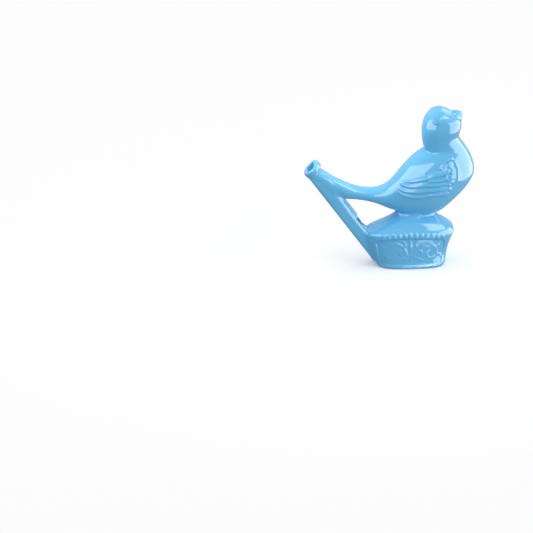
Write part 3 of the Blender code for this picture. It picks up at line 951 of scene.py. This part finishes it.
camera = {
    "azimuth": math.radians(-4.0),
    "elevation": math.radians(20.0),
    "pixelsPerMm": 2.483,
    "frame": 533,
    "distance": 6.0,  # metres, a long lens
    "sensor": 36.0,
    "anchor": (7.226, -8.5, 0.0),  # mm, front edge of the tank's foot
    "anchorPixel": (303.0, 269.0),
    "anchorShift": 35.0,  # mm, from the anchor's pixel to the grid's own zero
    "clipEnd": 20.0,
}


def lineOut(azimuth, elevation):
    # Unit line away from the object: azimuth 0 towards -Y, 90 degrees towards +X.
    flat = math.cos(elevation)
    return Vector((math.sin(azimuth) * flat, -math.cos(azimuth) * flat, math.sin(elevation)))


def makeCamera():
    # The picture's middle is 49.6 mm left of the grid's own zero, so the lens is aimed there while
    # it stands where the object is seen at the photograph's angle.
    a = camera["azimuth"]
    back = lineOut(a, camera["elevation"])
    right = Vector((math.cos(a), math.sin(a), 0.0))
    up = back.cross(right)
    middlePixel = camera["frame"] / 2
    scale = camera["pixelsPerMm"]
    across = (middlePixel - camera["anchorPixel"][0]) / scale
    across += (gridShift - camera["anchorShift"]) * math.cos(a)
    rise = up.dot(Vector(camera["anchor"])) + (camera["anchorPixel"][1] - middlePixel) / scale
    low, high = cadBox
    middle = (low + high) / 2
    aim = right * across * mm + up * rise * mm + back * back.dot(middle)
    place = middle + back * camera["distance"]
    line = aim - place
    lens = bpy.data.cameras.new("camera")
    lens.sensor_width = camera["sensor"]
    lens.lens = camera["sensor"] * line.length / (camera["frame"] / scale * mm)
    lens.clip_end = camera["clipEnd"]
    viewer = bpy.data.objects.new("camera", lens)
    bpy.context.scene.collection.objects.link(viewer)
    viewer.location = place
    level = Matrix((right, up, back)).transposed().to_quaternion()
    viewer.rotation_euler = ((-back).rotation_difference(line) @ level).to_euler()
    bpy.context.scene.camera = viewer


makeCamera()
print("stage: camera set")


studio = {
    "floorSize": 6.0,
    "floorDrop": 0.0001,
    "floorBounce": 0.4,  # how pale the floor is to the light that bounces off it
    "floorSeen": 0.9,
    "floorLift": 0.16,  # what the camera sees on top of that
    "skyAbove": 1.0,
    "skyBelow": (0.25, 0.85),  # on the left and on the right
    "skyFoot": -0.6,  # height on the unit ball where the sky starts to change
    # what it faces in metres, azimuth from the camera's side towards +X, elevation, half width and
    # half height in degrees, brightness, distance. The gloss lamps are only seen mirrored in the
    # surface, the matt lamps only light it.
    "gloss": {
        "rightPanel": ((0.004, 0.0, 0.035), 81.0, 3.5, 45.0, 34.5, 4.6, 0.6),
        "leftPanel": ((0.0185, -0.007, 0.0905), -64.0, 0.0, 42.0, 19.8, 4.0, 0.11),
        "topPanel": ((0.004, 0.0, 0.035), 65.0, 58.5, 25.6, 10.0, 4.6, 0.6),
        "browPanel": ((0.02, 0.0, 0.063), 150.0, 33.0, 17.0, 17.0, 0.2, 0.08),
        "sillPanel": ((0.0155, -0.009, 0.0015), 22.0, 15.0, 26.0, 8.0, 1.1, 0.06),
        "lowPanel": ((0.0155, -0.009, 0.0115), 22.0, -22.0, 20.0, 4.0, 0.6, 0.06),
    },
    "spreads": {"browPanel": 60.0, "sillPanel": 60.0, "lowPanel": 60.0},
    "matt": {
        "frontFill": ((0.02, 0.0, 0.042), 20.0, 48.0, 28.0, 28.0, 0.35, 0.13),
        "lowFill": ((0.018, -0.008, 0.007), 50.0, -2.0, 30.0, 22.0, 0.9, 0.06),
        "leftFill": ((0.0185, 0.0, 0.058), -100.0, 25.0, 30.0, 30.0, 1.1, 0.05),
    },
}


def makeFloor():
    # Pale floor: bounced light finds it greyer than the camera does, and the camera also sees it
    # lifted to white, so only the object's shadow darkens it.
    mesh = bpy.data.meshes.new("floor")
    size, z = studio["floorSize"], -studio["floorDrop"]
    corners = [(-size, -size, z), (size, -size, z), (size, size, z), (-size, size, z)]
    mesh.from_pydata(corners, [], [(0, 1, 2, 3)])
    floor = bpy.data.objects.new("floor", mesh)
    bpy.context.scene.collection.objects.link(floor)
    material = bpy.data.materials.new("paleFloor")
    material.use_nodes = True
    tree = material.node_tree
    shader = tree.nodes["Principled BSDF"]
    shader.inputs["Roughness"].default_value = 1.0
    shader.inputs["Specular IOR Level"].default_value = 0.0
    shader.inputs["Emission Color"].default_value = (1, 1, 1, 1)
    ray = tree.nodes.new("ShaderNodeLightPath").outputs["Is Camera Ray"]
    shade = tree.nodes.new("ShaderNodeMix")
    shade.data_type = "RGBA"
    for name, key in (("A", "floorBounce"), ("B", "floorSeen")):
        shade.inputs[name].default_value = (studio[key],) * 3 + (1,)
    lift = tree.nodes.new("ShaderNodeMath")
    lift.operation = "MULTIPLY"
    lift.inputs[1].default_value = studio["floorLift"]
    tree.links.new(ray, shade.inputs["Factor"])
    tree.links.new(shade.outputs["Result"], shader.inputs["Base Color"])
    tree.links.new(ray, lift.inputs[0])
    tree.links.new(lift.outputs["Value"], shader.inputs["Emission Strength"])
    mesh.materials.append(material)
    floor.visible_glossy = False


def makePanel(name, centre, azimuth, elevation, halfWide, halfHigh, brightness, far):
    # Flat soft lamp facing the object. A lamp's power is four times its area times its brightness.
    line = lineOut(math.radians(azimuth), math.radians(elevation))
    lamp = bpy.data.lights.new(name, "AREA")
    lamp.shape = "RECTANGLE"
    lamp.size = 2 * far * math.tan(math.radians(halfWide))
    lamp.size_y = 2 * far * math.tan(math.radians(halfHigh))
    lamp.energy = 4.0 * lamp.size * lamp.size_y * brightness
    thing = bpy.data.objects.new(name, lamp)
    bpy.context.scene.collection.objects.link(thing)
    thing.location = Vector(centre) + line * far
    thing.rotation_euler = (-line).to_track_quat("-Z", "Y").to_euler()
    return thing


def makeWorld():
    # Sky that fades from its floor value to its top value with height, the floor value itself
    # rising from left to right; white to the camera.
    world = bpy.data.worlds.new("world")
    bpy.context.scene.world = world
    world.use_nodes = True
    tree = world.node_tree
    base = tree.nodes["Background"]
    split = tree.nodes.new("ShaderNodeSeparateXYZ")
    direction = tree.nodes.new("ShaderNodeTexCoord").outputs["Generated"]
    tree.links.new(direction, split.inputs["Vector"])
    fade = tree.nodes.new("ShaderNodeMapRange")
    fade.inputs["From Min"].default_value = studio["skyFoot"]
    across = tree.nodes.new("ShaderNodeMapRange")
    across.inputs["From Min"].default_value = -1.0
    for end, value in zip(("To Min", "To Max"), studio["skyBelow"]):
        across.inputs[end].default_value = value
    tree.links.new(split.outputs["X"], across.inputs["Value"])
    tree.links.new(across.outputs["Result"], fade.inputs["To Min"])
    fade.inputs["To Max"].default_value = studio["skyAbove"]
    tree.links.new(split.outputs["Z"], fade.inputs["Value"])
    seen = tree.nodes.new("ShaderNodeMix")
    seen.inputs["B"].default_value = 1.0
    ray = tree.nodes.new("ShaderNodeLightPath").outputs["Is Camera Ray"]
    tree.links.new(ray, seen.inputs["Factor"])
    tree.links.new(fade.outputs["Result"], seen.inputs["A"])
    tree.links.new(seen.outputs["Result"], base.inputs["Strength"])
    base.inputs["Color"].default_value = (1, 1, 1, 1)


makeFloor()
for name, setting in studio["gloss"].items():
    makePanel(name, *setting).visible_diffuse = False
for name, setting in studio["matt"].items():
    makePanel(name, *setting).visible_glossy = False
for name, spread in studio["spreads"].items():
    bpy.data.lights[name].spread = math.radians(spread)
makeWorld()
bpy.context.scene.view_settings.view_transform = "Standard"
print("stage: light and floor")
